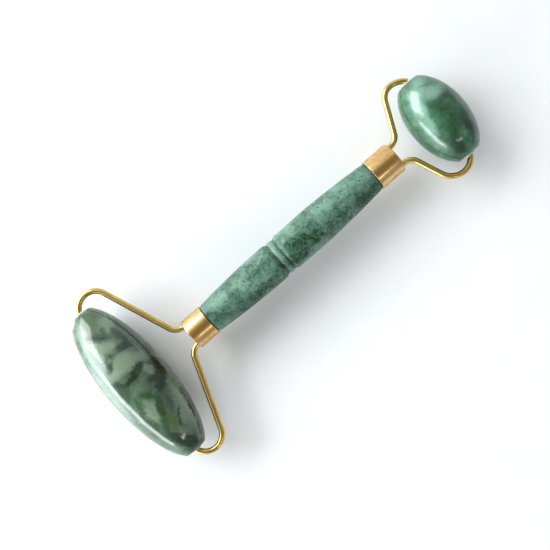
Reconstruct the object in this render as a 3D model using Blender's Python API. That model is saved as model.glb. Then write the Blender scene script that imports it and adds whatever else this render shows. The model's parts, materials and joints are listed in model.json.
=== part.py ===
"""Double-ended jade face roller.

A turned stone handle carries a brass ferrule on each end.  A bent wire yoke is
set in each ferrule, and a polished stone barrel turns between the ends of each
yoke, on two short steel pins that run in flanged nylon bushes.

Lengths are metres.  The pieces are drawn in the assembly's own frame: +X runs
along the handle from the large roller's axis to the small roller's axis, Y runs
along both roller axes, and the handle's axis and both roller axes lie at Z = 0.
An empty then stands the assembly on its two rollers, on the plane Z = 0, with
the origin below the middle of its length.
"""
import math

import bmesh
import bpy
from mathutils import Matrix, Vector

# Along the handle, from the large roller's axis
LARGE_FERRULE_FACE = 0.0228
LARGE_FERRULE_LENGTH = 0.0077
STONE_LENGTH = 0.0697
SMALL_FERRULE_LENGTH = 0.0094
SMALL_FERRULE_TO_AXIS = 0.0187

# Rollers: each is an ellipsoid of revolution about Y with its ends cut off
LARGE_ROLLER = {"radius": 0.0108, "half_length": 0.0285, "ellipse_half": 0.0304, "end_edge": 0.0003}
SMALL_ROLLER = {"radius": 0.0097, "half_length": 0.0150, "ellipse_half": 0.0164, "end_edge": 0.0004}
BORE_RADIUS = 0.00165
BORE_DEPTH = 0.0070

# Bushes and pivot pins
BUSH_RADIUS = 0.0015
BUSH_LENGTH = 0.0062
BUSH_HOLE_RADIUS = 0.00052
FLANGE_RADIUS = 0.0018
FLANGE_THICKNESS = 0.00035
FLANGE_SEAT = 0.00005
PIN_RADIUS = 0.00045
PIN_IN_ROLLER = 0.0052
PIN_IN_WIRE = 0.0010
PIN_CHAMFER = 0.0001
SOCKET_GAP = 0.00005

# Yokes, measured from the roller's axis towards the handle (x) and outwards (y)
WIRE_RADIUS = 0.0010
WIRE_END_TO_ROLLER = 0.00055
CROSSBAR_BEND = 0.0018
CROSSBAR_DEPTH = 0.0028
LARGE_LEG = {
    "top": (0.0051, 0.03245), "pin_bend": 0.0055, "leg_bend": 0.0055, "slope": 20.6,
    "end_angle": 14.0, "root_bend": 0.0046, "tang_y": 0.0035,
}
SMALL_LEG_LEFT = {
    "top": (0.0048, 0.01815), "pin_bend": 0.0066, "leg_bend": 0.00475, "slope": 26.0,
    "end_angle": 37.0, "root_bend": 0.0040, "tang_y": 0.0034,
}
SMALL_LEG_RIGHT = {
    "top": (0.0048, 0.0182), "pin_bend": 0.0054, "leg_bend": 0.0066, "slope": 21.0,
    "end_angle": 20.0, "root_bend": 0.0040, "tang_y": 0.0034,
}

# Ferrules
FERRULE_RADIUS = 0.0054
FERRULE_WALL = 0.0005
FERRULE_END_WALL = 0.0008
FERRULE_EDGE = 0.0003
WIRE_HOLE_GAP = 0.00015

# Handle
FIT_GAP = 0.0003
MOUTH_RADIUS = 0.0049
MOUTH_ROUND = 0.0005
LARGE_SWELL = {"end": 0.0052, "crown": 0.00643, "power": 2.05}
SMALL_SWELL = {"end": 0.0052, "crown": 0.00655, "power": 1.7, "crown_from_bead": 0.0120}
BEAD_FROM_MOUTH = 0.0305
BEAD_RADIUS = 0.00623
BEAD_HALF_WIDTH = 0.0010
GROOVE_RADIUS = 0.0059
GROOVE_WIDTH = 0.0005
GROOVE_SHOULDER = 0.0008
LARGE_TENON = 0.0027
SMALL_TENON = 0.0044

# Facets
ROLLER_SIDES = 40
HANDLE_SIDES = 32
WIRE_SIDES = 12
SMALL_SIDES = 16
ARC_STEP = math.radians(13.0)

LARGE_MOUTH = LARGE_FERRULE_FACE + LARGE_FERRULE_LENGTH
SMALL_MOUTH = LARGE_MOUTH + STONE_LENGTH
SMALL_FERRULE_FACE = SMALL_MOUTH + SMALL_FERRULE_LENGTH
AXIS_DISTANCE = SMALL_FERRULE_FACE + SMALL_FERRULE_TO_AXIS

MATERIALS = {
    "jade_handle": ((0.30, 0.46, 0.39), 0.35, 0.0),
    "jade_roller": ((0.33, 0.47, 0.38), 0.10, 0.0),
    "jade_small_roller": ((0.12, 0.27, 0.18), 0.10, 0.0),
    "brass": ((0.72, 0.52, 0.25), 0.28, 1.0),
    "brass_wire": ((0.66, 0.53, 0.22), 0.22, 1.0),
    "steel": ((0.55, 0.56, 0.58), 0.25, 1.0),
    "nylon": ((0.82, 0.83, 0.80), 0.45, 0.0),
    "epoxy": ((0.60, 0.52, 0.34), 0.40, 0.0),
}


def clear_scene():
    for item in list(bpy.data.objects):
        bpy.data.objects.remove(item, do_unlink=True)


def material(name):
    """The named Principled material, made the first time that it is asked for."""
    found = bpy.data.materials.get(name)
    if found:
        return found
    colour, roughness, metallic = MATERIALS[name]
    made = bpy.data.materials.new(name)
    made.use_nodes = True
    shader = made.node_tree.nodes["Principled BSDF"]
    shader.inputs["Base Color"].default_value = (*colour, 1.0)
    shader.inputs["Roughness"].default_value = roughness
    shader.inputs["Metallic"].default_value = metallic
    return made


def add_object(name, mesh_data, parent, material_name):
    made = bpy.data.objects.new(name, mesh_data)
    bpy.context.collection.objects.link(made)
    made.parent = parent
    if material_name:
        mesh_data.materials.append(material(material_name))
    return made


def finished_mesh(name, bm):
    """Turn the faces outwards, shade them smooth and store the mesh."""
    bmesh.ops.recalc_face_normals(bm, faces=bm.faces)
    mesh_data = bpy.data.meshes.new(name)
    bm.to_mesh(mesh_data)
    bm.free()
    mesh_data.shade_smooth()
    mesh_data.set_sharp_from_angle(angle=math.radians(35.0))
    return mesh_data


def arc(centre, radius, start, end):
    """Points along an arc in a plane, its angles in radians, both ends included."""
    steps = max(1, math.ceil(abs(end - start) / ARC_STEP))
    angles = [start + (end - start) * i / steps for i in range(steps + 1)]
    return [(centre[0] + radius * math.cos(a), centre[1] + radius * math.sin(a)) for a in angles]


def turned(name, profile, direction, sides, closed=False):
    """A turned solid: (distance, radius) points spun about the X or the Y axis.

    An open profile starts and ends on the axis; a closed one goes round a hole.
    A flat facet, not an edge, faces straight down.
    """
    bm = bmesh.new()
    rings = []
    for distance, radius in profile:
        count = sides if radius > 0.0 else 1
        ring = []
        for i in range(count):
            angle = 2.0 * math.pi * (i + 0.5) / sides
            across, up = radius * math.cos(angle), radius * math.sin(angle)
            place = (distance, across, up) if direction == "X" else (across, distance, up)
            ring.append(bm.verts.new(place))
        rings.append(ring)
    pairs = list(zip(rings, rings[1:]))
    if closed:
        pairs.append((rings[-1], rings[0]))
    for first, second in pairs:
        for i in range(sides):
            j = (i + 1) % sides
            corners = [first[i % len(first)], first[j % len(first)],
                       second[j % len(second)], second[i % len(second)]]
            bm.faces.new(list(dict.fromkeys(corners)))
    return finished_mesh(name, bm)


def swept(name, path, radius):
    """A round wire along a path in the XY plane, with square-cut ends."""
    bm = bmesh.new()
    points = [Vector((x, y, 0.0)) for x, y in path]
    up = Vector((0.0, 0.0, 1.0))
    rings = []
    for i, point in enumerate(points):
        tangent = (points[min(i + 1, len(points) - 1)] - points[max(i - 1, 0)]).normalized()
        side = up.cross(tangent)
        ring = []
        for k in range(WIRE_SIDES):
            angle = 2.0 * math.pi * (k + 0.5) / WIRE_SIDES
            ring.append(bm.verts.new(point + radius * (math.cos(angle) * side + math.sin(angle) * up)))
        rings.append(ring)
    for first, second in zip(rings, rings[1:]):
        for k in range(WIRE_SIDES):
            j = (k + 1) % WIRE_SIDES
            bm.faces.new([first[k], first[j], second[j], second[k]])
    bm.faces.new(rings[0])
    bm.faces.new(rings[-1])
    return finished_mesh(name, bm)


def block(name, low, high):
    """A box between two corners."""
    bm = bmesh.new()
    bmesh.ops.create_cube(bm, size=1.0)
    size = [b - a for a, b in zip(low, high)]
    middle = [(a + b) / 2.0 for a, b in zip(low, high)]
    bmesh.ops.transform(bm, matrix=Matrix.Translation(middle) @ Matrix.Diagonal((*size, 1.0)), verts=bm.verts)
    return finished_mesh(name, bm)


def as_cutter(item):
    item.hide_render = True
    item.display_type = 'WIRE'
    return item


def cut(item, cutter):
    modifier = item.modifiers.new("cut_" + cutter.name, 'BOOLEAN')
    modifier.operation = 'DIFFERENCE'
    modifier.solver = 'EXACT'
    modifier.object = cutter


def ellipse_radius(roller, y):
    return roller["radius"] * math.sqrt(1.0 - (y / roller["ellipse_half"]) ** 2)


def roller_profile(roller):
    """The barrel's outline with a rounded end edge, and a blind bore in each end."""
    half, edge = roller["half_length"], roller["end_edge"]
    steps = 9
    inner = half - edge
    face_radius = ellipse_radius(roller, half) - edge
    outer = [(half, face_radius)]
    for i in range(steps + 1):
        share = math.sin(0.5 * math.pi * (1.0 - i / (steps + 0.5)))
        y = inner * share
        outer.append((y, ellipse_radius(roller, y)))
    bottom = half - BORE_DEPTH
    one_end = [(bottom, 0.0), (bottom, BORE_RADIUS), (half, BORE_RADIUS)] + outer
    other_end = [(-y, radius) for y, radius in reversed(one_end)]
    return one_end + other_end


def bush_profile(half_length, side):
    """A flanged bush's outline: the flange's inner face sits just clear of the roller."""
    seat = half_length + FLANGE_SEAT
    inner = half_length - BUSH_LENGTH
    top = seat + FLANGE_THICKNESS
    points = [
        (inner, BUSH_HOLE_RADIUS), (inner, BUSH_RADIUS), (seat, BUSH_RADIUS),
        (seat, FLANGE_RADIUS), (top, FLANGE_RADIUS), (top, BUSH_HOLE_RADIUS),
    ]
    return [(side * y, radius) for y, radius in points]


def pin_profile(half_length, side):
    start = half_length - PIN_IN_ROLLER
    end = half_length + WIRE_END_TO_ROLLER + PIN_IN_WIRE
    points = [
        (start, 0.0), (start, PIN_RADIUS - PIN_CHAMFER), (start + PIN_CHAMFER, PIN_RADIUS),
        (end - PIN_CHAMFER, PIN_RADIUS), (end, PIN_RADIUS - PIN_CHAMFER), (end, 0.0),
    ]
    return [(side * y, radius) for y, radius in points]


def leg_path(leg, face):
    """One leg of a yoke, from the wire's end at the roller to the crossbar's middle.

    The wire hooks over the roller's end in two bends that meet at the hook's top,
    runs straight to the root bend, and goes into the ferrule parallel to the handle.
    """
    top_x, top_y = leg["top"]
    slope = math.radians(leg["slope"])
    across = Vector((math.cos(slope), math.sin(slope)))
    along = Vector((math.sin(slope), -math.cos(slope)))
    pin_centre = (top_x, top_y - leg["pin_bend"])
    leg_centre = (top_x, top_y - leg["leg_bend"])
    hook = arc(pin_centre, leg["pin_bend"], math.pi - math.radians(leg["end_angle"]), math.pi / 2.0)
    hook += arc(leg_centre, leg["leg_bend"], math.pi / 2.0, slope)[1:]
    root, tang_y = leg["root_bend"], leg["tang_y"]
    touch = Vector(hook[-1])
    offset = touch + root * across
    run = (offset.y - tang_y - root) / math.cos(slope)
    root_centre = offset + run * along
    path = hook + arc(root_centre, root, math.pi + slope, 1.5 * math.pi)
    bar_centre = (face + CROSSBAR_DEPTH - CROSSBAR_BEND, tang_y - CROSSBAR_BEND)
    return path + arc(bar_centre, CROSSBAR_BEND, math.pi / 2.0, 0.0)


def yoke_path(left_leg, right_leg, face, roller_x, facing):
    """The whole wire, from the +Y end to the -Y end, in the assembly's frame."""
    left = leg_path(left_leg, face)
    right = [(x, -y) for x, y in reversed(leg_path(right_leg, face))]
    return [(roller_x + facing * x, y) for x, y in left + right]


def swell_radius(swell, share):
    """The handle's radius from its crown (share 0) to the ferrule's mouth (share 1)."""
    return swell["crown"] - (swell["crown"] - swell["end"]) * share ** swell["power"]


def handle_profile():
    """Tenon, rounded shoulder, swell, groove, bead, groove, swell, shoulder, tenon."""
    tenon_radius = FERRULE_RADIUS - FERRULE_WALL - FIT_GAP
    start, end = LARGE_MOUTH + FIT_GAP, SMALL_MOUTH - FIT_GAP
    bead = LARGE_MOUTH + BEAD_FROM_MOUTH
    left_edge = bead - BEAD_HALF_WIDTH - GROOVE_WIDTH - GROOVE_SHOULDER
    right_edge = bead + BEAD_HALF_WIDTH + GROOVE_WIDTH + GROOVE_SHOULDER
    steps = 7
    points = [(LARGE_MOUTH - LARGE_TENON, 0.0), (LARGE_MOUTH - LARGE_TENON, tenon_radius),
              (start, tenon_radius), (start, MOUTH_RADIUS)]
    for i in range(steps + 1):
        share = 1.0 - i / steps
        x = left_edge - (left_edge - start - MOUTH_ROUND) * share
        points.append((x, swell_radius(LARGE_SWELL, share)))
    points += [
        (bead - BEAD_HALF_WIDTH - GROOVE_WIDTH, GROOVE_RADIUS), (bead - BEAD_HALF_WIDTH, GROOVE_RADIUS),
        (bead - BEAD_HALF_WIDTH / 2.0, BEAD_RADIUS), (bead + BEAD_HALF_WIDTH / 2.0, BEAD_RADIUS),
        (bead + BEAD_HALF_WIDTH, GROOVE_RADIUS), (bead + BEAD_HALF_WIDTH + GROOVE_WIDTH, GROOVE_RADIUS),
    ]
    crown = bead + SMALL_SWELL["crown_from_bead"]
    points.append((right_edge, LARGE_SWELL["crown"]))
    for i in range(steps + 1):
        share = i / steps
        x = crown + (end - MOUTH_ROUND - crown) * share
        points.append((x, swell_radius(SMALL_SWELL, share)))
    points += [(end, MOUTH_RADIUS), (end, tenon_radius),
               (SMALL_MOUTH + SMALL_TENON, tenon_radius), (SMALL_MOUTH + SMALL_TENON, 0.0)]
    return points


def ferrule_profile(face, mouth):
    """A cup with an end wall at face and its open mouth towards the stone."""
    inward = 1.0 if mouth > face else -1.0
    wall = face + inward * FERRULE_END_WALL
    bore = FERRULE_RADIUS - FERRULE_WALL
    return [
        (face, 0.0), (face, FERRULE_RADIUS - FERRULE_EDGE), (face + inward * FERRULE_EDGE, FERRULE_RADIUS),
        (mouth, FERRULE_RADIUS), (mouth, bore), (wall, bore), (wall, 0.0),
    ]


def epoxy_profile(face, tenon_end):
    inward = 1.0 if tenon_end > face else -1.0
    radius = FERRULE_RADIUS - FERRULE_WALL - FIT_GAP
    start = face + inward * (FERRULE_END_WALL + FIT_GAP)
    end = tenon_end - inward * FIT_GAP
    return [(start, 0.0), (start, radius), (end, radius), (end, 0.0)]


def add_turned(name, profile, direction, sides, parent, material_name, closed=False):
    return add_object(name, turned(name, profile, direction, sides, closed), parent, material_name)


def add_roller_set(size, roller, axis_empty, frame_empty, roller_x, stone):
    """A roller with its bushes on the axis, and the two fixed pins that it turns on."""
    add_turned("roller_" + size, roller_profile(roller), "Y", ROLLER_SIDES, axis_empty, stone)
    half = roller["half_length"]
    for word, side in (("left", 1.0), ("right", -1.0)):
        name = size + "_" + word
        add_turned("bush_" + name, bush_profile(half, side), "Y", SMALL_SIDES, axis_empty, "nylon", closed=True)
        pin = add_turned("pivot_pin_" + name, pin_profile(half, side), "Y", SMALL_SIDES, frame_empty, "steel")
        pin.location.x = roller_x


def add_yoke(size, roller, path, roller_x, parent):
    """The bent wire, ground flat beside the roller and drilled for its two pins."""
    name = "yoke_" + size
    yoke = add_object(name, swept(name, path, WIRE_RADIUS), parent, "brass_wire")
    flat = roller["half_length"] + WIRE_END_TO_ROLLER
    reach = 3.0 * WIRE_RADIUS
    for word, side in (("left", 1.0), ("right", -1.0)):
        near, far = sorted((side * (flat - reach), side * flat))
        grind = block("grind_" + size + "_" + word, (roller_x - reach, near, -reach),
                      (roller_x + reach, far, reach))
        cut(yoke, as_cutter(add_object(grind.name, grind, parent, None)))
        hole = PIN_RADIUS + SOCKET_GAP
        bottom = flat + PIN_IN_WIRE + SOCKET_GAP
        profile = [(side * (flat - reach), 0.0), (side * (flat - reach), hole),
                   (side * bottom, hole), (side * bottom, 0.0)]
        socket = turned("socket_" + size + "_" + word, profile, "Y", SMALL_SIDES)
        drill = as_cutter(add_object(socket.name, socket, parent, None))
        drill.location.x = roller_x
        cut(yoke, drill)
    return yoke


def add_end(size, path, face, mouth, tenon_end, parent):
    """A ferrule and the epoxy inside it, both cleared for the wire."""
    room = swept("wire_room_" + size, path, WIRE_RADIUS + WIRE_HOLE_GAP)
    clearance = as_cutter(add_object(room.name, room, parent, None))
    name = size + "_end"
    ferrule = add_turned("ferrule_" + name, ferrule_profile(face, mouth), "X", HANDLE_SIDES, parent, "brass")
    epoxy = add_turned("epoxy_" + name, epoxy_profile(face, tenon_end), "X", HANDLE_SIDES, parent, "epoxy")
    cut(ferrule, clearance)
    cut(epoxy, clearance)


def add_empty(name, parent, location):
    made = bpy.data.objects.new(name, None)
    bpy.context.collection.objects.link(made)
    made.parent = parent
    made.location = location
    return made


def resting_radius(roller):
    """From a roller's axis to the middle of its lowest facet."""
    return roller["radius"] * math.cos(math.pi / ROLLER_SIDES)


def build():
    clear_scene()
    large_height = resting_radius(LARGE_ROLLER)
    small_height = resting_radius(SMALL_ROLLER)
    tilt = math.asin((large_height - small_height) / AXIS_DISTANCE)
    level_distance = AXIS_DISTANCE * math.cos(tilt)
    large_x = (large_height - level_distance - small_height) / 2.0
    frame = add_empty("assembly", None, (large_x, 0.0, large_height))
    frame.rotation_euler = (0.0, tilt, 0.0)
    large_axis = add_empty("large_roller_axis", frame, (0.0, 0.0, 0.0))
    small_axis = add_empty("small_roller_axis", frame, (AXIS_DISTANCE, 0.0, 0.0))

    add_turned("handle", handle_profile(), "X", HANDLE_SIDES, frame, "jade_handle")
    large_face = LARGE_FERRULE_FACE
    large_wire = yoke_path(LARGE_LEG, LARGE_LEG, large_face, 0.0, 1.0)
    small_wire = yoke_path(SMALL_LEG_LEFT, SMALL_LEG_RIGHT, SMALL_FERRULE_TO_AXIS, AXIS_DISTANCE, -1.0)
    add_end("large", large_wire, large_face, LARGE_MOUTH, LARGE_MOUTH - LARGE_TENON, frame)
    add_end("small", small_wire, SMALL_FERRULE_FACE, SMALL_MOUTH, SMALL_MOUTH + SMALL_TENON, frame)
    add_yoke("large", LARGE_ROLLER, large_wire, 0.0, frame)
    add_yoke("small", SMALL_ROLLER, small_wire, AXIS_DISTANCE, frame)
    add_roller_set("large", LARGE_ROLLER, large_axis, frame, 0.0, "jade_roller")
    add_roller_set("small", SMALL_ROLLER, small_axis, frame, AXIS_DISTANCE, "jade_small_roller")


build()
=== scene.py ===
import json
import math

import bmesh
import bpy
from mathutils import Matrix, Vector


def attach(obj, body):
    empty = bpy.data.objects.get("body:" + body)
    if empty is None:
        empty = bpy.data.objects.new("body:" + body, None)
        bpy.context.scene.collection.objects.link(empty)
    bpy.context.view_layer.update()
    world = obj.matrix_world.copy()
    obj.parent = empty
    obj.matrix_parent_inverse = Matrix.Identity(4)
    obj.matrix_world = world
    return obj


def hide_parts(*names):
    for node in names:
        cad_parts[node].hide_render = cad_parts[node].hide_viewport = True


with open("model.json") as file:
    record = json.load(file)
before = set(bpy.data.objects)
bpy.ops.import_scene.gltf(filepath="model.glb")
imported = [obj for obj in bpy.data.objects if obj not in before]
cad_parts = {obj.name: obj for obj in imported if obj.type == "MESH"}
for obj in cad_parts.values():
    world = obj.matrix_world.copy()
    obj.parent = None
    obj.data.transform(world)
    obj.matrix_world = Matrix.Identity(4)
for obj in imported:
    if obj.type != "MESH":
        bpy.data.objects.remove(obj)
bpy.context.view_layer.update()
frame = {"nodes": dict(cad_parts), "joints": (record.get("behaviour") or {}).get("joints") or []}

MM = 0.001

# Assembly frame: X from the large roller's axis to the small one's, Y along both axes
JOINTS = {joint["name"]: Vector(joint["pos_m"]) for joint in frame["joints"]}
LARGE_AXIS = JOINTS["large_roller_spin"]
SMALL_AXIS = JOINTS["small_roller_spin"]
AXIS_DISTANCE = (SMALL_AXIS - LARGE_AXIS).length
ALONG = (SMALL_AXIS - LARGE_AXIS).normalized()
ACROSS = Vector((0.0, 1.0, 0.0))
TURN_TO_ROW = Matrix((ALONG, ACROSS, ALONG.cross(ACROSS))).transposed().to_4x4()
TO_ROW = Matrix.Translation(LARGE_AXIS) @ TURN_TO_ROW


def node_points(node):
    """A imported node's vertices in the assembly frame."""
    inverse = TO_ROW.inverted()
    return [inverse @ vertex.co for vertex in frame["nodes"][node].data.vertices]


def handle_side_size(node):
    """Lowest and highest place along X, and the radius about the X axis."""
    points = node_points(node)
    along = [p.x for p in points]
    return min(along), max(along), max(math.hypot(p.y, p.z) for p in points)


def roller_size(node, centre):
    """Half the length along Y, and the radius about the Y direction at X = centre."""
    points = node_points(node)
    return max(p.y for p in points), max(math.hypot(p.x - centre, p.z) for p in points)


LARGE_FACE, LARGE_MOUTH, FERRULE_RADIUS = handle_side_size("ferrule_large_end")
SMALL_MOUTH, SMALL_FACE = handle_side_size("ferrule_small_end")[:2]
STONE_START, STONE_END = handle_side_size("handle")[:2]
LARGE_HALF, LARGE_RADIUS = roller_size("roller_large", 0.0)
SMALL_HALF, SMALL_RADIUS = roller_size("roller_small", AXIS_DISTANCE)

# Rollers and what they turn on
LARGE_ELLIPSE_HALF = 0.0304
SMALL_ELLIPSE_HALF = 0.0164
ROLLER_EDGE = 0.0005
BORE_RADIUS = 0.00165
BORE_DEPTH = 0.0070
BORE_LIP = 0.0001
BUSH_RADIUS = 0.0015
BUSH_LENGTH = 0.0062
BUSH_HOLE = 0.00052
FLANGE_RADIUS = 0.0018
FLANGE_THICKNESS = 0.00035
FLANGE_SEAT = 0.00005
BUSH_RIM = 0.00008
PIN_RADIUS = 0.00045
PIN_IN_ROLLER = 0.0052
PIN_IN_WIRE = 0.0010
PIN_CHAMFER = 0.0001
SOCKET_GAP = 0.00005

# Yokes
WIRE_RADIUS = 0.0010
WIRE_END_TO_ROLLER = 0.00055
CUTTER_REACH = 3.0 * WIRE_RADIUS
CROSSBAR_BEND = 0.0018
CROSSBAR_DEPTH = 0.0028
LARGE_LEG = {
    "top": (0.0051, 0.03245), "pin_bend": 0.0055, "leg_bend": 0.0055, "slope": 20.6,
    "end_angle": 14.0, "root_bend": 0.0046, "tang_y": 0.0035,
}
SMALL_LEG_LEFT = {
    "top": (0.0048, 0.01815), "pin_bend": 0.0066, "leg_bend": 0.00475, "slope": 26.0,
    "end_angle": 37.0, "root_bend": 0.0040, "tang_y": 0.0034,
}
SMALL_LEG_RIGHT = {
    "top": (0.0048, 0.0182), "pin_bend": 0.0054, "leg_bend": 0.0066, "slope": 21.0,
    "end_angle": 20.0, "root_bend": 0.0040, "tang_y": 0.0034,
}

# Ferrules
FERRULE_WALL = 0.0005
FERRULE_END_WALL = 0.0008
FERRULE_FACE_ROUND = 0.00045
FERRULE_MOUTH_ROUND = 0.00015
FERRULE_BORE_ROUND = 0.00010
WIRE_HOLE_GAP = 0.00015
FIT_GAP = 0.0003

# Handle
MOUTH_RADIUS = 0.0049
MOUTH_ROUND = 0.0005
LARGE_SWELL = {"end": 0.0052, "crown": 0.00643, "power": 2.05}
SMALL_SWELL = {"end": 0.0052, "crown": 0.00655, "power": 1.7, "crown_from_bead": 0.0120}
BEAD_FROM_MOUTH = 0.0305
BEAD_RADIUS = 0.00623
BEAD_HALF_WIDTH = 0.0010
GROOVE_RADIUS = 0.0059
GROOVE_WIDTH = 0.0005
GROOVE_SHOULDER = 0.0008
GROOVE_EDGE_ROUND = 0.00035
BEAD_FOOT_ROUND = 0.00025
BEAD_ROUND = 0.0005
SWELL_END_ROUND = 0.0005
TENON_EDGE_ROUND = 0.0002

# How finely the round shapes are divided, and from what angle an edge is shaded sharp
SIDES = 160
WIRE_SIDES = 40
SMALL_SIDES = 64
BARREL_STEPS = 72
SWELL_STEPS = 48
ARC_STEP = math.radians(4.0)
SHARP_ANGLE = math.radians(40.0)
MERGE_DISTANCE = 1e-7


# ---------------------------------------------------------------- mesh making

def arc(centre, radius, start, end):
    """Points along an arc in a plane, its angles in radians, both ends included."""
    steps = max(1, math.ceil(abs(end - start) / ARC_STEP))
    angles = [start + (end - start) * i / steps for i in range(steps + 1)]
    return [(centre[0] + radius * math.cos(a), centre[1] + radius * math.sin(a)) for a in angles]


def rounded(outline, steps=6):
    """An outline of (distance, radius, rounding) corners, each corner turned into a small curve."""
    points = [Vector(corner[:2]) for corner in outline]
    result = []
    for i, corner in enumerate(outline):
        size = corner[2] if len(corner) > 2 else 0.0
        if size == 0.0 or i in (0, len(outline) - 1):
            result.append(points[i])
            continue
        before, after = points[i - 1] - points[i], points[i + 1] - points[i]
        first = points[i] + before.normalized() * min(size, before.length * 0.49)
        last = points[i] + after.normalized() * min(size, after.length * 0.49)
        for k in range(steps + 1):
            t = k / steps
            result.append(first * (1 - t) ** 2 + points[i] * 2 * t * (1 - t) + last * t ** 2)
    return [(p[0], p[1]) for p in result]


def finished(name, bm):
    """Faces turned outwards, shaded smooth with the true edges kept sharp, in the row frame."""
    bmesh.ops.remove_doubles(bm, verts=bm.verts, dist=MERGE_DISTANCE)
    bmesh.ops.recalc_face_normals(bm, faces=bm.faces)
    bmesh.ops.transform(bm, matrix=TO_ROW, verts=bm.verts)
    data = bpy.data.meshes.new(name)
    bm.to_mesh(data)
    bm.free()
    data.shade_smooth()
    data.set_sharp_from_angle(angle=SHARP_ANGLE)
    made = bpy.data.objects.new(name, data)
    bpy.context.collection.objects.link(made)
    return made


def turned(name, profile, direction, sides=SIDES, closed=False, centre=0.0):
    """(distance, radius) points spun about the X axis, or about the Y direction at X = centre."""
    bm = bmesh.new()
    rings = []
    for distance, radius in profile:
        count = sides if radius > 0.0 else 1
        ring = []
        for i in range(count):
            angle = 2.0 * math.pi * i / sides
            side, up = radius * math.cos(angle), radius * math.sin(angle)
            place = (distance, side, up) if direction == "X" else (centre + side, distance, up)
            ring.append(bm.verts.new(place))
        rings.append(ring)
    pairs = list(zip(rings, rings[1:]))
    if closed:
        pairs.append((rings[-1], rings[0]))
    for first, second in pairs:
        for i in range(sides):
            j = (i + 1) % sides
            corners = [first[i % len(first)], first[j % len(first)],
                       second[j % len(second)], second[i % len(second)]]
            bm.faces.new(list(dict.fromkeys(corners)))
    return finished(name, bm)


def swept(name, path, radius):
    """A round wire along a path in the XY plane."""
    bm = bmesh.new()
    points = [Vector((x, y, 0.0)) for x, y in path]
    up = Vector((0.0, 0.0, 1.0))
    rings = []
    for i, point in enumerate(points):
        tangent = (points[min(i + 1, len(points) - 1)] - points[max(i - 1, 0)]).normalized()
        side = up.cross(tangent)
        ring = []
        for k in range(WIRE_SIDES):
            angle = 2.0 * math.pi * k / WIRE_SIDES
            ring.append(bm.verts.new(point + radius * (math.cos(angle) * side + math.sin(angle) * up)))
        rings.append(ring)
    for first, second in zip(rings, rings[1:]):
        for k in range(WIRE_SIDES):
            j = (k + 1) % WIRE_SIDES
            bm.faces.new([first[k], first[j], second[j], second[k]])
    bm.faces.new(rings[0])
    bm.faces.new(rings[-1])
    bmesh.ops.recalc_face_normals(bm, faces=bm.faces)
    return finished(name, bm)


def box(name, low, high):
    """A block between two opposite corners."""
    bm = bmesh.new()
    bmesh.ops.create_cube(bm, size=1.0)
    size = [b - a for a, b in zip(low, high)]
    middle = [(a + b) / 2.0 for a, b in zip(low, high)]
    stretch = Matrix.Translation(middle) @ Matrix.Diagonal((*size, 1.0))
    bmesh.ops.transform(bm, matrix=stretch, verts=bm.verts)
    return finished(name, bm)


def carved(piece, cutters):
    """Cuts the cutters out of a piece and removes them."""
    for cutter in cutters:
        modifier = piece.modifiers.new(cutter.name, 'BOOLEAN')
        modifier.operation = 'DIFFERENCE'
        modifier.solver = 'EXACT'
        modifier.object = cutter
    graph = bpy.context.evaluated_depsgraph_get()
    data = bpy.data.meshes.new_from_object(piece.evaluated_get(graph))
    piece.modifiers.clear()
    old, piece.data = piece.data, data
    bpy.data.meshes.remove(old)
    data.name = piece.name
    for cutter in cutters:
        bpy.data.meshes.remove(cutter.data)
    data.shade_smooth()
    data.set_sharp_from_angle(angle=SHARP_ANGLE)
    return piece


def place(piece, node, body, slot, material):
    """The piece takes its material, stands for its CAD node and moves with its body."""
    piece.data.materials.clear()
    piece.data.materials.append(material)
    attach(piece, body)
    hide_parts(node)
    return piece


# ------------------------------------------------------------------- material nodes

def display(red, green, blue):
    """A colour given as it shows on a screen, from 0 to 255, in linear light."""
    def linear(value):
        share = value / 255.0
        return share / 12.92 if share <= 0.04045 else ((share + 0.055) / 1.055) ** 2.4
    return (linear(red), linear(green), linear(blue), 1.0)


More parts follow.
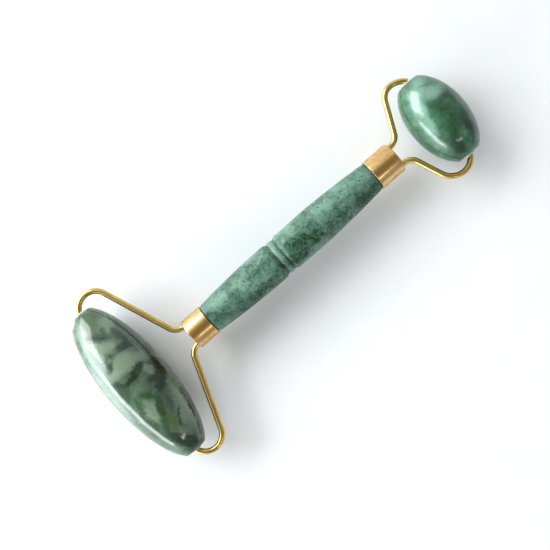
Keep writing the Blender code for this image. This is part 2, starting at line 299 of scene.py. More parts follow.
class Nodes:
    """A node tree filled by short calls, each giving an output socket."""

    def __init__(self, tree):
        self.tree = tree

    def node(self, kind, inputs, **settings):
        made = self.tree.nodes.new(kind)
        for key, value in settings.items():
            setattr(made, key, value)
        for key, value in inputs.items():
            self.give(made.inputs[key], value)
        return made

    def give(self, socket, value):
        """Links an output to the socket, or sets the socket's own value."""
        if isinstance(value, bpy.types.NodeSocket):
            self.tree.links.new(value, socket)
        else:
            socket.default_value = value

    def mapped(self, vector, location=(0, 0, 0), turn=0.0, scale=(1, 1, 1), kind='POINT'):
        return self.node("ShaderNodeMapping", {
            "Vector": vector, "Location": location, "Rotation": (0.0, 0.0, math.radians(turn)),
            "Scale": scale}, vector_type=kind).outputs[0]

    def noise(self, vector, scale, detail=4.0, roughness=0.55, colour=False):
        made = self.node("ShaderNodeTexNoise", {
            "Vector": vector, "Scale": scale, "Detail": detail, "Roughness": roughness})
        return made.outputs["Color" if colour else "Fac"]

    def maths(self, operation, first, second=0.0):
        return self.node("ShaderNodeMath", {0: first, 1: second}, operation=operation).outputs[0]

    def vectors(self, operation, first, second):
        made = self.node("ShaderNodeVectorMath", {0: first, 1: second}, operation=operation)
        return made.outputs["Value" if operation in ("LENGTH", "DOT_PRODUCT") else "Vector"]

    def range(self, value, low, high, to_low=0.0, to_high=1.0):
        return self.node("ShaderNodeMapRange", {
            "Value": value, "From Min": low, "From Max": high, "To Min": to_low, "To Max": to_high},
            interpolation_type='SMOOTHSTEP').outputs[0]

    def ramp(self, value, stops):
        made = self.node("ShaderNodeValToRGB", {"Fac": value})
        elements = made.color_ramp.elements
        while len(elements) < len(stops):
            elements.new(1.0)
        for element, (position, colour) in zip(elements, stops):
            element.position = position
            element.color = colour
        return made.outputs["Color"]

    def mix(self, share, first, second, blend='MIX'):
        made = self.node("ShaderNodeMix", {}, data_type='RGBA', blend_type=blend)
        for key, value in ((0, share), (6, first), (7, second)):
            self.give(made.inputs[key], value)
        return made.outputs[2]


class Pattern(Nodes):
    """A material drawn in millimetres from a centre in the row frame."""

    def __init__(self, name, centre):
        self.material = bpy.data.materials.new(name)
        self.material.use_nodes = True
        super().__init__(self.material.node_tree)
        self.shader = self.tree.nodes["Principled BSDF"]
        coordinates = self.tree.nodes.new("ShaderNodeTexCoord")
        self.place = self.mapped(coordinates.outputs["Object"], scale=(1 / MM,) * 3,
                                 location=[-c / MM for c in centre])

    def warped(self, vector, scale, amount, detail=3.0):
        """The vector pushed about by noise, so that what is drawn with it gets natural edges."""
        cloud = self.noise(vector, scale, detail, 0.6, colour=True)
        push = self.vectors("SUBTRACT", cloud, (0.5, 0.5, 0.5))
        return self.vectors("ADD", vector, self.vectors("MULTIPLY", push, (amount,) * 3))

    def stroke(self, vector, start, end, width, soft, barrel):
        """1 along a stroke from start to end, (x, y) on a barrel's upper side, 0 past its edges."""
        (x1, y1), (x2, y2) = start, end
        middle = on_barrel((x1 + x2) / 2.0, (y1 + y2) / 2.0, *barrel)
        length = math.hypot(x2 - x1, y2 - y1) / 2.0 + width / 2.0
        turn = math.degrees(math.atan2(y2 - y1, x2 - x1))
        local = self.mapped(vector, middle, turn, (length, width / 2.0, STROKE_DEPTH), 'TEXTURE')
        return self.range(self.vectors("LENGTH", local, (0, 0, 0)), 1.0 + soft, 1.0 - soft)

    def strokes(self, vector, rows, barrel):
        """The strongest of several strokes."""
        found = None
        for start, end, width, soft, strength in rows:
            mask = self.stroke(vector, start, end, width, soft, barrel)
            if strength < 1.0:
                mask = self.maths("MULTIPLY", mask, strength)
            found = mask if found is None else self.maths("MAXIMUM", found, mask)
        return found

    def bump(self, height, distance, strength=1.0, normal=None):
        inputs = {"Height": height, "Distance": distance, "Strength": strength}
        if normal is not None:
            inputs["Normal"] = normal
        return self.node("ShaderNodeBump", inputs).outputs["Normal"]

    def finish(self, settings):
        for key, value in settings.items():
            self.give(self.shader.inputs[key], value)
        return self.material


def pits(pattern, spacing, share, size):
    """Little round dots scattered in the polish, used as pits in the bump and as painted glints in the
    colour: a share of the cells has one, size across in cells.
    """
    cells = pattern.node("ShaderNodeTexVoronoi", {"Vector": pattern.place, "Scale": 1.0 / spacing})
    cell = pattern.node("ShaderNodeSeparateColor", {"Color": cells.outputs["Color"]})
    chosen = pattern.maths("LESS_THAN", cell.outputs["Red"], share)
    near = pattern.range(cells.outputs["Distance"], size, size * 0.4)
    return pattern.maths("MULTIPLY", chosen, near)


# ---------------------------------------------------------------------- stones

# Half the height of a stroke, above and below its middle, in millimetres
STROKE_DEPTH = 5.0
LARGE_BARREL = (LARGE_RADIUS, LARGE_ELLIPSE_HALF)
SMALL_BARREL = (SMALL_RADIUS, SMALL_ELLIPSE_HALF)

# Marks on the rollers' upper sides at rest, in millimetres from the roller's middle, x towards the
# handle for the large roller: stroke start, stroke end, width, softness, strength
# Mint rows: partly pale stone, partly a painted highlight and reflection down the lit left flank and upper
# end.
LARGE_MINT_AND_HIGHLIGHT = [((-1.6, 23.6), (-4.6, 8.0), 5.4, 0.5, 0.9), ((-7.2, 12.0), (-8.0, -6.0), 4.0, 0.6, 0.7)]
LARGE_PALE = [
    ((5.7, 21.4), (5.8, 18.0), 3.4, 0.5, 0.9), ((0.8, 15.2), (2.8, 13.4), 4.2, 0.5, 0.9),
    ((-1.4, 6.8), (4.8, 6.8), 6.0, 0.45, 1.0), ((6.4, 6.8), (7.4, 4.8), 3.0, 0.5, 0.8),
    ((6.8, 2.0), (7.4, -0.6), 2.0, 0.5, 0.7), ((8.2, -9.6), (5.8, -19.6), 3.6, 0.5, 0.9),
    ((0.2, -8.0), (-1.0, -12.2), 3.6, 0.4, 0.7),
]
LARGE_TEAL = [((3.8, -1.4), (-1.6, -2.8), 1.8, 0.5, 0.8), ((-4.4, -20.4), (-3.4, -25.0), 3.4, 0.5, 0.8)]
LARGE_OLIVE = [((2.2, 25.2), (0.8, 20.8), 4.2, 0.4, 1.0), ((1.9, -15.4), (2.0, -17.8), 3.2, 0.5, 0.9)]
LARGE_GREEN = [
    ((-3.0, 1.4), (-3.4, -2.2), 4.0, 0.4, 1.0), ((-2.0, -4.2), (-3.0, -8.0), 1.7, 0.4, 0.9),
    ((-3.0, -8.0), (-4.6, -12.0), 1.7, 0.4, 0.9), ((3.6, -8.0), (1.2, -13.8), 2.3, 0.4, 0.9),
    ((-3.4, -12.6), (-4.2, -17.0), 3.2, 0.5, 0.9), ((6.2, -14.4), (3.0, -19.4), 0.9, 0.5, 0.9),
    ((0.8, -14.2), (-1.4, -18.0), 2.6, 0.5, 0.8), ((0.8, -4.8), (3.0, -6.6), 2.2, 0.5, 0.7),
    ((-1.2, 20.0), (2.6, 17.0), 3.2, 0.5, 0.75),
]
LARGE_GREY = [
    ((8.1, 20.6), (9.1, 13.6), 2.4, 0.5, 0.9), ((9.1, 13.6), (9.7, 6.8), 2.4, 0.5, 0.9),
    ((6.4, 16.6), (6.6, 14.4), 2.6, 0.5, 0.9), ((6.6, -6.6), (5.4, -11.4), 3.8, 0.6, 0.7),
]
LARGE_DARK = [
    ((6.2, 3.4), (2.2, 1.5), 2.5, 0.35, 1.0), ((2.4, 1.5), (-1.2, 1.0), 2.1, 0.35, 1.0),
    ((-1.2, 1.0), (-3.4, 3.4), 1.6, 0.4, 0.9), ((-2.0, 7.7), (-1.0, 8.9), 1.8, 0.55, 0.9),
    ((-1.0, 8.9), (-0.9, 10.8), 0.8, 0.6, 0.5), ((-1.1, 19.8), (0.6, 18.2), 1.2, 0.6, 0.85),
    ((0.6, 18.2), (2.9, 16.8), 1.0, 0.6, 0.8), ((4.2, 11.6), (6.8, 10.6), 2.5, 0.45, 0.9),
    ((6.6, 10.8), (7.4, 13.4), 1.4, 0.5, 0.7), ((9.7, 6.8), (9.7, 3.0), 1.8, 0.4, 0.9),
    ((9.6, 3.2), (9.3, -1.2), 2.6, 0.35, 1.0), ((9.3, -1.0), (8.0, -4.2), 3.4, 0.35, 1.0),
    ((8.2, -3.6), (6.0, -6.2), 3.0, 0.35, 1.0), ((8.0, -3.4), (5.2, -2.0), 2.2, 0.5, 0.9),
    ((9.9, -10.2), (9.2, -14.3), 1.1, 0.5, 0.9), ((9.2, -14.3), (8.1, -19.0), 1.3, 0.5, 0.9),
]
# Whitish rows: a painted highlight along the rim at the +Y end.
LARGE_END_RIM_HIGHLIGHT = [
    ((-3.8, 26.8), (-1.8, 28.4), 1.5, 0.5, 0.8), ((-1.8, 28.4), (2.6, 28.5), 1.0, 0.5, 0.8),
]
LARGE_DEEP = [((-1.4, -20.2), (0.4, -23.0), 3.6, 0.45, 0.95), ((0.0, -22.6), (2.6, -26.4), 4.2, 0.4, 1.0)]

# Mint rows: partly pale stone at the upper end, partly a painted highlight stripe down the lit side.
SMALL_MINT_AND_HIGHLIGHT = [
    ((1.4, 12.8), (-1.6, 9.0), 5.0, 0.6, 0.8), ((0.8, 7.4), (3.4, 7.0), 4.2, 0.6, 0.8),
    ((-3.2, 10.4), (-5.4, 3.4), 3.8, 0.5, 0.9), ((-5.4, 3.4), (-5.6, -2.6), 2.2, 0.5, 0.7),
    ((-7.4, 3.0), (-7.2, -7.0), 3.0, 0.6, 0.35),
]
SMALL_SPECKS = [((0.2, 10.9), (2.6, 10.2), 0.9, 0.6, 0.6), ((1.0, 9.6), (3.6, 9.4), 0.8, 0.6, 0.5)]
SMALL_DEEP = [
    ((-2.4, -8.6), (-3.4, -12.6), 5.0, 0.6, 0.9), ((3.4, -6.6), (4.6, -9.6), 3.6, 0.6, 0.8),
    ((0.2, -3.0), (-1.6, -4.6), 4.0, 0.7, 0.2), ((-0.2, 1.0), (2.4, 0.0), 1.2, 0.6, 0.4),
]


def on_barrel(x, y, radius, ellipse_half):
    """The point above (x, y) on the upper side of a barrel along Y, in millimetres."""
    local = radius * math.sqrt(max(0.0, 1.0 - (y * MM / ellipse_half) ** 2)) / MM
    return (x, y, math.sqrt(max(0.0, local ** 2 - x ** 2)))


def polish(stone, grain, low, high):
    """Hand-polished stone: faint waves, tiny pits and a slightly uneven gloss."""
    waves = stone.noise(stone.place, 0.16, 2.0, 0.5)
    holes = pits(stone, 1.5, 0.14, 0.11)
    normal = stone.bump(waves, 0.00030, 0.5)
    normal = stone.bump(stone.maths("MULTIPLY", holes, -1.0), 0.00010, 1.0, normal)
    rough = stone.maths("ADD", stone.range(grain, 0.3, 0.8, low, high), stone.maths("MULTIPLY", holes, 0.3))
    return {"Roughness": rough, "Normal": normal, "IOR": 1.62, "Subsurface Weight": 0.12,
            "Subsurface Scale": 0.0012}


def jade_large():
    stone = Pattern("jade_large_roller", LARGE_AXIS)
    loose = stone.warped(stone.place, 0.16, 7.0)
    fine = stone.warped(stone.warped(stone.place, 0.30, 2.2), 1.1, 1.0, 4.0)
    cloud = stone.noise(loose, 0.16, 5.0, 0.62)
    ground = stone.ramp(cloud, [
        (0.32, display(54, 78, 60)), (0.45, display(70, 96, 76)),
        (0.56, display(92, 118, 96)), (0.70, display(120, 144, 122)),
    ])
    drift = stone.noise(stone.warped(stone.place, 0.22, 5.0), 0.19, 6.0, 0.65)
    ground = stone.mix(stone.range(drift, 0.52, 0.66, 0.0, 0.9), ground, display(58, 94, 66))
    veins = stone.noise(stone.mapped(fine, turn=35.0, scale=(1.0, 0.35, 1.0)), 0.33, 4.0, 0.55)
    ground = stone.mix(stone.range(veins, 0.61, 0.68), ground, display(44, 62, 50))
    rough = stone.warped(fine, 0.8, 1.2, 5.0)
    # Among these colours the mint is partly a painted highlight on the lit flank, and the whitish one is a
    # painted highlight on the end rim.
    for rows, colour in (
        (LARGE_MINT_AND_HIGHLIGHT, display(164, 186, 174)), (LARGE_PALE, display(124, 148, 124)),
        (LARGE_TEAL, display(86, 118, 98)), (LARGE_OLIVE, display(80, 108, 70)),
        (LARGE_GREEN, display(38, 74, 46)), (LARGE_GREY, display(58, 78, 68)),
        (LARGE_DEEP, display(20, 52, 26)), (LARGE_DARK, display(32, 52, 38)),
        (LARGE_END_RIM_HIGHLIGHT, display(204, 222, 210)),
    ):
        ground = stone.mix(stone.strokes(rough, rows, LARGE_BARREL), ground, colour)
    speck = stone.noise(fine, 1.3, 6.0, 0.7)
    ground = stone.mix(stone.range(speck, 0.56, 0.72, 0.0, 0.55), ground, display(48, 74, 56))
    ground = stone.mix(stone.range(speck, 0.42, 0.28, 0.0, 0.50), ground, display(150, 172, 150))
    # Painted glints: pale dots in the base colour in place of sparkles off the pits.
    painted_glints = stone.maths("MULTIPLY", pits(stone, 2.1, 0.10, 0.10), 0.7)
    ground = stone.mix(painted_glints, ground, display(206, 226, 212))
    return stone.finish({"Base Color": ground, **polish(stone, speck, 0.10, 0.20)})


def jade_small():
    stone = Pattern("jade_small_roller", SMALL_AXIS)
    loose = stone.warped(stone.place, 0.16, 6.0)
    fine = stone.warped(stone.warped(stone.place, 0.30, 2.4), 1.1, 1.0, 4.0)
    cloud = stone.noise(loose, 0.16, 5.0, 0.6)
    ground = stone.ramp(cloud, [
        (0.30, display(28, 64, 44)), (0.44, display(44, 88, 62)),
        (0.56, display(62, 110, 84)), (0.70, display(92, 136, 112)),
    ])
    # The mint rows here are partly a painted highlight stripe.
    for rows, colour in (
        (SMALL_MINT_AND_HIGHLIGHT, display(126, 168, 150)), (SMALL_DEEP, display(14, 48, 26)),
        (SMALL_SPECKS, display(46, 76, 60)),
    ):
        ground = stone.mix(stone.strokes(fine, rows, SMALL_BARREL), ground, colour)
    speck = stone.noise(fine, 1.1, 6.0, 0.7)
    ground = stone.mix(stone.range(speck, 0.60, 0.75, 0.0, 0.5), ground, display(32, 60, 44))
    ground = stone.mix(stone.range(speck, 0.40, 0.28, 0.0, 0.35), ground, display(100, 140, 118))
    # Painted glints: pale dots in the base colour in place of sparkles off the pits.
    painted_glints = stone.maths("MULTIPLY", pits(stone, 1.9, 0.10, 0.10), 0.6)
    ground = stone.mix(painted_glints, ground, display(190, 220, 204))
    return stone.finish({"Base Color": ground, **polish(stone, speck, 0.12, 0.22)})


# Marks on the handle, in millimetres from the middle between the two ferrules, x along the handle.
# They take their height from a barrel that lies across the handle, as the rollers do.  So a mark more
# than a handle's radius from the middle is centred on the axis, and colours the sides more than the top.
HANDLE_BARREL = (LARGE_SWELL["crown"], 1.0)
# Pale rows: partly pale mottles, partly painted light along the +Y side, the side that faces the window.
HANDLE_PALE_AND_LIT = [
    ((-32.0, 2.6), (-26.0, 1.4), 5.0, 0.6, 0.9), ((-9.0, 3.6), (-4.0, 2.4), 3.0, 0.6, 0.6),
    ((6.0, 3.4), (14.0, 2.8), 3.6, 0.6, 0.8), ((15.0, 1.6), (20.0, 2.8), 3.4, 0.6, 0.8),
    ((26.0, 2.4), (33.0, 1.4), 4.0, 0.6, 0.8),
]
# Dark rows: dark green mottles, most of them lying along the -Y side, away from the window, as painted
# shade.
HANDLE_DARK_AND_SHADE = [
    ((-24.5, 2.3), (-22.5, 0.4), 1.8, 0.6, 0.9), ((-19.0, 2.6), (-9.6, 1.0), 4.0, 0.6, 1.0),
    ((-25.0, -4.4), (-9.0, -3.4), 4.6, 0.6, 1.0), ((-17.5, -0.8), (-11.5, -1.4), 3.2, 0.6, 0.9),
    ((1.0, 0.4), (9.0, -2.8), 4.6, 0.6, 1.0), ((7.0, -3.6), (25.0, -2.8), 5.2, 0.6, 1.0),
    ((22.0, -3.8), (32.0, -4.2), 4.2, 0.6, 1.0), ((18.0, 0.2), (25.0, -0.8), 3.0, 0.6, 0.7),
    ((-6.0, -2.6), (2.6, -4.6), 3.6, 0.6, 0.9),
]


def jade_handle():
    centre = TO_ROW @ Vector(((LARGE_MOUTH + SMALL_MOUTH) / 2.0, 0.0, 0.0))
    stone = Pattern("jade_handle", centre)
    fine = stone.warped(stone.warped(stone.place, 0.35, 4.0), 1.4, 1.2, 5.0)
    cloud = stone.noise(fine, 0.14, 4.0, 0.6)
    ground = stone.ramp(cloud, [
        (0.36, display(58, 92, 76)), (0.46, display(76, 112, 96)),
        (0.55, display(94, 132, 115)), (0.66, display(116, 152, 136)),
    ])
    grain = stone.noise(fine, 0.9, 8.0, 0.75)
    # Mask of the dark strokes: dark mottles and painted shade on the side away from the window.
    clouds_and_shade = stone.strokes(fine, HANDLE_DARK_AND_SHADE, HANDLE_BARREL)
    # The pale strokes are partly painted light on the window side.
    ground = stone.mix(stone.strokes(fine, HANDLE_PALE_AND_LIT, HANDLE_BARREL), ground, display(120, 162, 140))
    along = stone.node("ShaderNodeSeparateXYZ", {"Vector": stone.place}).outputs["X"]
    bead = (LARGE_MOUTH + BEAD_FROM_MOUTH - (LARGE_MOUTH + SMALL_MOUTH) / 2.0) / MM
    from_bead = stone.maths("ABSOLUTE", stone.maths("SUBTRACT", along, bead))
    # Painted light on the raised bead: the dark strokes are weakened on it and it is lightened all round.
    clouds_and_shade = stone.maths("MULTIPLY", clouds_and_shade, stone.range(from_bead, 0.8, 1.2, 0.6, 1.0))
    ground = stone.mix(stone.range(from_bead, 1.1, 0.6, 0.0, 0.4), ground, display(136, 178, 158))
    # Dark green from the dark strokes: mottles and painted shade.
    ground = stone.mix(stone.maths("MULTIPLY", clouds_and_shade, 0.92), ground, display(34, 76, 44))
    pale_grain = stone.maths("ADD", grain, stone.maths("MULTIPLY", clouds_and_shade, 0.05))
    ground = stone.mix(stone.range(pale_grain, 0.48, 0.36, 0.0, 0.55), ground, display(132, 174, 152))
    threads = stone.range(stone.maths("ADD", grain, stone.maths("MULTIPLY", clouds_and_shade, 0.07)), 0.54, 0.62)
    ground = stone.mix(stone.maths("MULTIPLY", threads, 0.9), ground, display(16, 42, 28))
    # Painted shade: the grooves beside the bead are darkened.
    from_groove = stone.maths("ABSOLUTE", stone.maths("SUBTRACT", from_bead, 1.3))
    ground = stone.mix(stone.range(from_groove, 0.55, 0.10, 0.0, 0.5), ground, display(32, 52, 44))
    holes = pits(stone, 1.1, 0.22, 0.13)
    normal = stone.bump(grain, 0.00006, 0.6)
    normal = stone.bump(stone.maths("MULTIPLY", holes, -1.0), 0.00008, 1.0, normal)
    # Painted glints: pale dots in the base colour in place of sparkles off the pits.
    painted_glints = stone.maths("MULTIPLY", pits(stone, 2.3, 0.10, 0.09), 0.7)
    ground = stone.mix(painted_glints, ground, display(196, 218, 208))
    rough = stone.range(grain, 0.3, 0.7, 0.28, 0.42)
    return stone.finish({"Base Color": ground, "Roughness": rough, "Normal": normal, "IOR": 1.5,
                         "Specular IOR Level": 0.26, "Subsurface Weight": 0.08,
                         "Subsurface Scale": 0.0010})


# ---------------------------------------------------------------------- metals and the rest

def brass(name, light, dark, rough_low, rough_high, streak):
    """Brass with fine tool or drawing marks: streak squeezes the noise along the marks."""
    metal = Pattern(name, LARGE_AXIS)
    marks = metal.noise(metal.mapped(metal.place, scale=streak), 1.0, 4.0, 0.6)
    tarnish = metal.noise(metal.warped(metal.place, 0.4, 2.0), 0.35, 5.0, 0.65)
    colour = metal.mix(metal.range(tarnish, 0.35, 0.70), light, dark)
    spots = metal.noise(metal.place, 2.6, 5.0, 0.7)
    colour = metal.mix(metal.range(spots, 0.66, 0.74, 0.0, 0.6), colour, display(110, 78, 34))
    uneven = metal.maths("ADD", metal.maths("MULTIPLY", marks, 0.2), metal.maths("MULTIPLY", tarnish, 0.8))
    normal = metal.bump(marks, 0.00001, 0.08)
    normal = metal.bump(tarnish, 0.00004, 0.15, normal)
    return metal.finish({"Base Color": colour, "Metallic": 1.0, "Normal": normal,
                         "Roughness": metal.range(uneven, 0.3, 0.7, rough_low, rough_high)})


def steel():
    metal = Pattern("pin_steel", LARGE_AXIS)
    marks = metal.noise(metal.mapped(metal.place, scale=(1.0, 12.0, 1.0)), 3.0, 3.0)
    colour = metal.ramp(marks, [(0.3, display(150, 152, 156)), (0.7, display(190, 192, 196))])
    return metal.finish({"Base Color": colour, "Metallic": 1.0, "Normal": metal.bump(marks, 0.00001, 0.5),
                         "Roughness": metal.range(marks, 0.3, 0.7, 0.18, 0.34)})


def nylon():
    plastic = Pattern("bush_nylon", LARGE_AXIS)
    grain = plastic.noise(plastic.place, 5.0, 4.0)
    colour = plastic.ramp(grain, [(0.3, display(214, 214, 204)), (0.7, display(232, 232, 226))])
    return plastic.finish({"Base Color": colour, "Normal": plastic.bump(grain, 0.00002, 0.4),
                           "Roughness": plastic.range(grain, 0.3, 0.7, 0.42, 0.55),
                           "Subsurface Weight": 0.1, "Subsurface Scale": 0.0005})


def epoxy():
    resin = Pattern("epoxy", LARGE_AXIS)
    grain = resin.noise(resin.place, 1.6, 4.0)
    colour = resin.ramp(grain, [(0.3, display(150, 128, 84)), (0.7, display(190, 168, 118))])
    return resin.finish({"Base Color": colour, "Normal": resin.bump(grain, 0.00004, 0.5),
                         "Roughness": resin.range(grain, 0.3, 0.7, 0.25, 0.4)})


# ---------------------------------------------------------------------- pieces

def barrel_outline(half, radius, ellipse_half):
    """The roller's outline from one bore's bottom to the other's."""
    def barrel(y):
        return radius * math.sqrt(1.0 - (y / ellipse_half) ** 2)

    edge_start = half - ROLLER_EDGE
    corner = Vector((half, barrel(half)))
    face_end = Vector((half, barrel(half) - ROLLER_EDGE))
    barrel_end = Vector((edge_start, barrel(edge_start)))
    rounding = [face_end * (1 - t) ** 2 + corner * 2 * t * (1 - t) + barrel_end * t ** 2
                for t in [k / 8 for k in range(9)]]
    outer = [(half - BORE_DEPTH, 0.0), (half - BORE_DEPTH, BORE_RADIUS),
             (half - BORE_LIP, BORE_RADIUS), (half, BORE_RADIUS + BORE_LIP)]
    outer += [(p[0], p[1]) for p in rounding]
    for i in range(1, BARREL_STEPS):
        y = edge_start * math.sin(0.5 * math.pi * (1.0 - i / BARREL_STEPS))
        outer.append((y, barrel(y)))
    return outer + [(0.0, radius)] + [(-y, r) for y, r in reversed(outer)]


def add_roller(size, half, radius, ellipse_half, centre, slot, material):
    outline = barrel_outline(half, radius, ellipse_half)
    roller = turned("stone_barrel_" + size, outline, "Y", centre=centre)
    place(roller, "roller_" + size, size + "_roller", slot, material)


def add_bearings(size, half, centre, nylon_material, steel_material):
    for word, side in (("left", 1.0), ("right", -1.0)):
        seat, top = half + FLANGE_SEAT, half + FLANGE_SEAT + FLANGE_THICKNESS
        inner = half - BUSH_LENGTH
        rim = BUSH_RIM
        outline = [
            (inner, BUSH_HOLE), (inner, BUSH_RADIUS - rim), (inner + rim, BUSH_RADIUS),
            (seat, BUSH_RADIUS), (seat, FLANGE_RADIUS - rim), (seat + rim, FLANGE_RADIUS),
            (top - rim, FLANGE_RADIUS), (top, FLANGE_RADIUS - rim),
            (top, BUSH_HOLE + rim / 2), (top - rim / 2, BUSH_HOLE),
        ]
        profile = [(side * y, r) for y, r in outline]
        name = size + "_" + word
        bush = turned("nylon_bush_" + name, profile, "Y", SMALL_SIDES, closed=True, centre=centre)
        place(bush, "bush_" + name, size + "_roller", "bush_nylon", nylon_material)
        start, end = half - PIN_IN_ROLLER, half + WIRE_END_TO_ROLLER + PIN_IN_WIRE
        slim = PIN_RADIUS - PIN_CHAMFER
        outline = [(start, 0.0), (start, slim), (start + PIN_CHAMFER, PIN_RADIUS),
                   (end - PIN_CHAMFER, PIN_RADIUS), (end, slim), (end, 0.0)]
        profile = [(side * y, r) for y, r in outline]
        pin = turned("steel_pin_" + name, profile, "Y", SMALL_SIDES, centre=centre)
        place(pin, "pivot_pin_" + name, "frame", "pin_steel", steel_material)


def leg_path(leg, face):
    """One leg of a yoke, from the wire's end at the roller to the crossbar's middle."""
    top_x, top_y = leg["top"]
    slope = math.radians(leg["slope"])
    across = Vector((math.cos(slope), math.sin(slope)))
    along = Vector((math.sin(slope), -math.cos(slope)))
    pin_centre = (top_x, top_y - leg["pin_bend"])
    leg_centre = (top_x, top_y - leg["leg_bend"])
    hook = arc(pin_centre, leg["pin_bend"], math.pi - math.radians(leg["end_angle"]), math.pi / 2.0)
    hook += arc(leg_centre, leg["leg_bend"], math.pi / 2.0, slope)[1:]
    root, tang_y = leg["root_bend"], leg["tang_y"]
    touch = Vector(hook[-1])
    offset = touch + root * across
    run = (offset.y - tang_y - root) / math.cos(slope)
    root_centre = offset + run * along
    path = hook + arc(root_centre, root, math.pi + slope, 1.5 * math.pi)
    bar_centre = (face + CROSSBAR_DEPTH - CROSSBAR_BEND, tang_y - CROSSBAR_BEND)
    return path + arc(bar_centre, CROSSBAR_BEND, math.pi / 2.0, 0.0)


def yoke_path(left_leg, right_leg, face, roller_x, facing):
    """The whole wire, from the +Y end to the -Y end, in the assembly's frame."""
    left = leg_path(left_leg, face)
    right = [(x, -y) for x, y in reversed(leg_path(right_leg, face))]
    return [(roller_x + facing * x, y) for x, y in left + right]


def add_yoke(size, half, path, roller_x, material):
    yoke = swept("wire_yoke_" + size, path, WIRE_RADIUS)
    flat = half + WIRE_END_TO_ROLLER
    cutters = []
    for side in (1.0, -1.0):
        near, far = sorted((side * (flat - CUTTER_REACH), side * flat))
        low = (roller_x - CUTTER_REACH, near, -CUTTER_REACH)
        high = (roller_x + CUTTER_REACH, far, CUTTER_REACH)
        cutters.append(box("grind", low, high))
        hole = PIN_RADIUS + SOCKET_GAP
        bottom = flat + PIN_IN_WIRE + SOCKET_GAP
        profile = [(side * (flat - CUTTER_REACH), 0.0), (side * (flat - CUTTER_REACH), hole),
                   (side * bottom, hole), (side * bottom, 0.0)]
        cutters.append(turned("socket", profile, "Y", SMALL_SIDES, centre=roller_x))
    carved(yoke, cutters)
    place(yoke, "yoke_" + size, "frame", "wire_brass", material)


def add_end(size, path, face, mouth, tenon_end, brass_material, epoxy_material):
    """A ferrule and the adhesive in it, both cleared for the wire."""
    inward = 1.0 if mouth > face else -1.0
    wall = face + inward * FERRULE_END_WALL
    bore = FERRULE_RADIUS - FERRULE_WALL
    outline = [(face, 0.0), (face, FERRULE_RADIUS, FERRULE_FACE_ROUND),
               (mouth, FERRULE_RADIUS, FERRULE_MOUTH_ROUND),
               (mouth, bore, FERRULE_BORE_ROUND), (wall, bore), (wall, 0.0)]
    ferrule = turned("ferrule_shell_" + size, rounded(outline), "X")
    room = swept("room", path, WIRE_RADIUS + WIRE_HOLE_GAP)
    carved(ferrule, [room])
    place(ferrule, "ferrule_" + size + "_end", "frame", "ferrule_brass", brass_material)

    radius = bore - FIT_GAP
    start = face + inward * (FERRULE_END_WALL + FIT_GAP)
    end = tenon_end - inward * FIT_GAP
    profile = [(start, 0.0), (start, radius), (end, radius), (end, 0.0)]
    plug = turned("adhesive_" + size, profile, "X", SMALL_SIDES)
    room = swept("room", path, WIRE_RADIUS + WIRE_HOLE_GAP)
    carved(plug, [room])
    place(plug, "epoxy_" + size + "_end", "frame", "epoxy", epoxy_material)


def swell_radius(swell, share):
    """The handle's radius from its crown (share 0) to the ferrule's mouth (share 1)."""
    return swell["crown"] - (swell["crown"] - swell["end"]) * share ** swell["power"]


def handle_outline():
    """Tenon, rounded shoulder, swell, groove, bead, groove, swell, shoulder, tenon."""
    tenon = FERRULE_RADIUS - FERRULE_WALL - FIT_GAP
    start, end = LARGE_MOUTH + FIT_GAP, SMALL_MOUTH - FIT_GAP
    bead = LARGE_MOUTH + BEAD_FROM_MOUTH
    left_edge = bead - BEAD_HALF_WIDTH - GROOVE_WIDTH - GROOVE_SHOULDER
    right_edge = bead + BEAD_HALF_WIDTH + GROOVE_WIDTH + GROOVE_SHOULDER
    crown = bead + SMALL_SWELL["crown_from_bead"]
    outline = [(STONE_START, 0.0), (STONE_START, tenon, TENON_EDGE_ROUND), (start, tenon),
               (start, MOUTH_RADIUS)]
    for i in range(SWELL_STEPS + 1):
        share = 1.0 - i / SWELL_STEPS
        x = left_edge - (left_edge - start - MOUTH_ROUND) * share
        outline.append((x, swell_radius(LARGE_SWELL, share)))
    outline[-1] = (*outline[-1], SWELL_END_ROUND)
    outline += [
        (bead - BEAD_HALF_WIDTH - GROOVE_WIDTH, GROOVE_RADIUS, GROOVE_EDGE_ROUND),
        (bead - BEAD_HALF_WIDTH, GROOVE_RADIUS, BEAD_FOOT_ROUND),
        (bead - BEAD_HALF_WIDTH / 2.0, BEAD_RADIUS, BEAD_ROUND),
        (bead + BEAD_HALF_WIDTH / 2.0, BEAD_RADIUS, BEAD_ROUND),
        (bead + BEAD_HALF_WIDTH, GROOVE_RADIUS, BEAD_FOOT_ROUND),
        (bead + BEAD_HALF_WIDTH + GROOVE_WIDTH, GROOVE_RADIUS, GROOVE_EDGE_ROUND),
        (right_edge, LARGE_SWELL["crown"], SWELL_END_ROUND),
    ]
    for i in range(SWELL_STEPS + 1):
        share = i / SWELL_STEPS
        x = crown + (end - MOUTH_ROUND - crown) * share
        outline.append((x, swell_radius(SMALL_SWELL, share)))
    outline += [(end, MOUTH_RADIUS), (end, tenon), (STONE_END, tenon, TENON_EDGE_ROUND),
                (STONE_END, 0.0)]
    return rounded(outline)


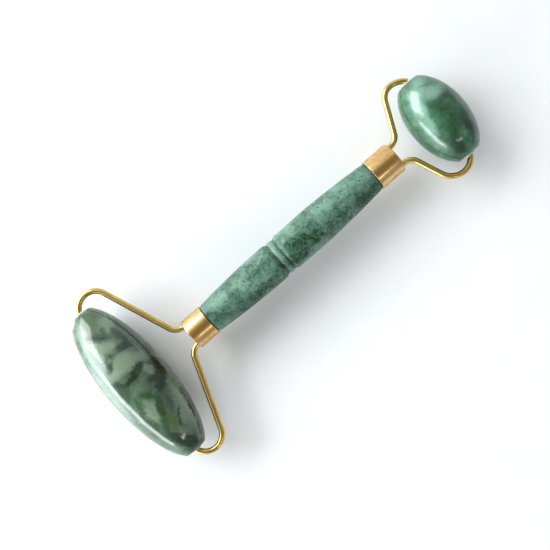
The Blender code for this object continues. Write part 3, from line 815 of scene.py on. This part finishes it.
def add_pieces():
    handle = turned("stone_handle", handle_outline(), "X")
    place(handle, "handle", "frame", "handle_stone", jade_handle())

    ferrule_brass = brass("ferrule_brass", display(234, 197, 138), display(208, 166, 100),
                          0.20, 0.32, (14.0, 0.6, 0.6))
    wire_brass = brass("wire_brass", display(224, 198, 124), display(200, 170, 92),
                       0.18, 0.28, (1.2, 1.2, 1.2))
    glue = epoxy()
    large_wire = yoke_path(LARGE_LEG, LARGE_LEG, LARGE_FACE, 0.0, 1.0)
    small_wire = yoke_path(SMALL_LEG_LEFT, SMALL_LEG_RIGHT, AXIS_DISTANCE - SMALL_FACE,
                           AXIS_DISTANCE, -1.0)
    add_end("large", large_wire, LARGE_FACE, LARGE_MOUTH, STONE_START, ferrule_brass, glue)
    add_end("small", small_wire, SMALL_FACE, SMALL_MOUTH, STONE_END, ferrule_brass, glue)
    add_yoke("large", LARGE_HALF, large_wire, 0.0, wire_brass)
    add_yoke("small", SMALL_HALF, small_wire, AXIS_DISTANCE, wire_brass)

    white, grey = nylon(), steel()
    add_roller("large", LARGE_HALF, LARGE_RADIUS, LARGE_ELLIPSE_HALF, 0.0,
               "large_roller_stone", jade_large())
    add_roller("small", SMALL_HALF, SMALL_RADIUS, SMALL_ELLIPSE_HALF, AXIS_DISTANCE,
               "small_roller_stone", jade_small())
    add_bearings("large", LARGE_HALF, 0.0, white, grey)
    add_bearings("small", SMALL_HALF, AXIS_DISTANCE, white, grey)


# ---------------------------------------------------------------------- studio

CAMERA_PLACE = (-0.00386, -0.00986, 0.24747)
CAMERA_TURN = (-41.22, 0.573, 1.781)    # about the vertical, then pitch and roll, in degrees
CAMERA_LENS = 48.26
CAMERA_SENSOR = 36.0
CAMERA_NEAREST = 0.01
FLOOR_HALF = 0.7


def add_camera():
    data = bpy.data.cameras.new("camera")
    data.lens = CAMERA_LENS
    data.sensor_width = CAMERA_SENSOR
    data.clip_start = CAMERA_NEAREST
    camera = bpy.data.objects.new("camera", data)
    bpy.context.collection.objects.link(camera)
    camera.location = CAMERA_PLACE
    camera.rotation_mode = 'YXZ'
    yaw, pitch, roll = [math.radians(angle) for angle in CAMERA_TURN]
    camera.rotation_euler = (pitch, roll, yaw)
    bpy.context.scene.camera = camera


def add_area(name, azimuth, elevation, distance, size, power):
    """A soft rectangular light that faces the object; azimuth is counted from +X towards +Y."""
    data = bpy.data.lights.new(name, 'AREA')
    data.shape = 'RECTANGLE'
    data.size, data.size_y = size
    data.energy = power
    light = bpy.data.objects.new(name, data)
    bpy.context.collection.objects.link(light)
    a, e = math.radians(azimuth), math.radians(elevation)
    towards = Vector((math.cos(a) * math.cos(e), math.sin(a) * math.cos(e), math.sin(e)))
    light.location = towards * distance
    light.rotation_euler = towards.to_track_quat('Z', 'Y').to_euler()


def add_floor():
    bm = bmesh.new()
    bmesh.ops.create_grid(bm, x_segments=1, y_segments=1, size=FLOOR_HALF)
    data = bpy.data.meshes.new("floor")
    bm.to_mesh(data)
    bm.free()
    floor = bpy.data.objects.new("floor", data)
    bpy.context.collection.objects.link(floor)
    paper = Pattern("floor_paper", (0.0, 0.0, 0.0))
    grain = paper.noise(paper.place, 0.05, 3.0)
    colour = paper.ramp(grain, [(0.3, display(238, 243, 247)), (0.7, display(242, 246, 250))])
    data.materials.append(paper.finish({"Base Color": colour, "Roughness": 0.6}))


# Soft lights: name, azimuth and elevation in degrees, distance, (width, height), power in watts
WINDOW_AZIMUTH = 122.0
LIGHTS = [
    ("window", WINDOW_AZIMUTH, 32.0, 1.0, (1.0, 0.5), 11.2),
    ("far_window", 190.0, 14.0, 1.0, (0.9, 0.24), 5.2),
    ("doorway", -90.0, 45.0, 1.2, (0.48, 0.05), 0.75),
]

# The room's glow from low down on one side, its walls, and the dim ceiling
GLOW_AZIMUTH = 165.0
ROOM_GLOW = 1.5
ROOM_WALLS = 0.90
ROOM_FAR_WALLS = 0.43
ROOM_OVERHEAD = 0.24
OVERHEAD_TOWARDS = (0.0, -0.17, 0.985)
ROOM_SHOWN = 0.9
DAYLIGHT = (0.94, 0.965, 1.0, 1.0)
CEILING = (1.0, 0.82, 0.52, 1.0)


def add_world():
    """A pale room, brightest at the windows' side and dim overhead; the camera sees it pale."""
    world = bpy.data.worlds.new("studio")
    bpy.context.scene.world = world
    world.use_nodes = True
    room = Nodes(world.node_tree)
    direction = room.node("ShaderNodeTexCoord", {}).outputs["Generated"]
    height = room.node("ShaderNodeSeparateXYZ", {"Vector": direction}).outputs["Z"]

    def towards(azimuth):
        a = math.radians(azimuth)
        return room.vectors("DOT_PRODUCT", direction, (math.cos(a), math.sin(a), 0.0))

    low_glow = room.maths("MULTIPLY", room.range(towards(GLOW_AZIMUTH), 0.10, 0.90),
                          room.range(height, 0.50, 0.20, 0.0, ROOM_GLOW))
    walls = room.range(towards(WINDOW_AZIMUTH), -0.50, 0.30, ROOM_FAR_WALLS, ROOM_WALLS)
    overhead = room.range(room.vectors("DOT_PRODUCT", direction, OVERHEAD_TOWARDS), 0.76, 0.95)
    ceiling = room.maths("MULTIPLY", overhead, ROOM_OVERHEAD)
    open_share = room.maths("SUBTRACT", 1.0, overhead)
    around = room.maths("ADD", ceiling, room.maths("MULTIPLY", walls, open_share))
    strength = room.maths("ADD", low_glow, around)
    seen = room.node("ShaderNodeLightPath", {}).outputs["Is Camera Ray"]
    shown = room.node("ShaderNodeMix", {0: seen, 2: strength, 3: ROOM_SHOWN}, data_type='FLOAT')
    background = room.tree.nodes["Background"]
    room.give(background.inputs["Color"], room.mix(overhead, DAYLIGHT, CEILING))
    room.give(background.inputs["Strength"], shown.outputs[0])


def add_studio():
    add_camera()
    add_floor()
    add_world()
    for light in LIGHTS:
        add_area(*light)
    bpy.context.scene.view_settings.view_transform = 'Standard'


add_pieces()
add_studio()
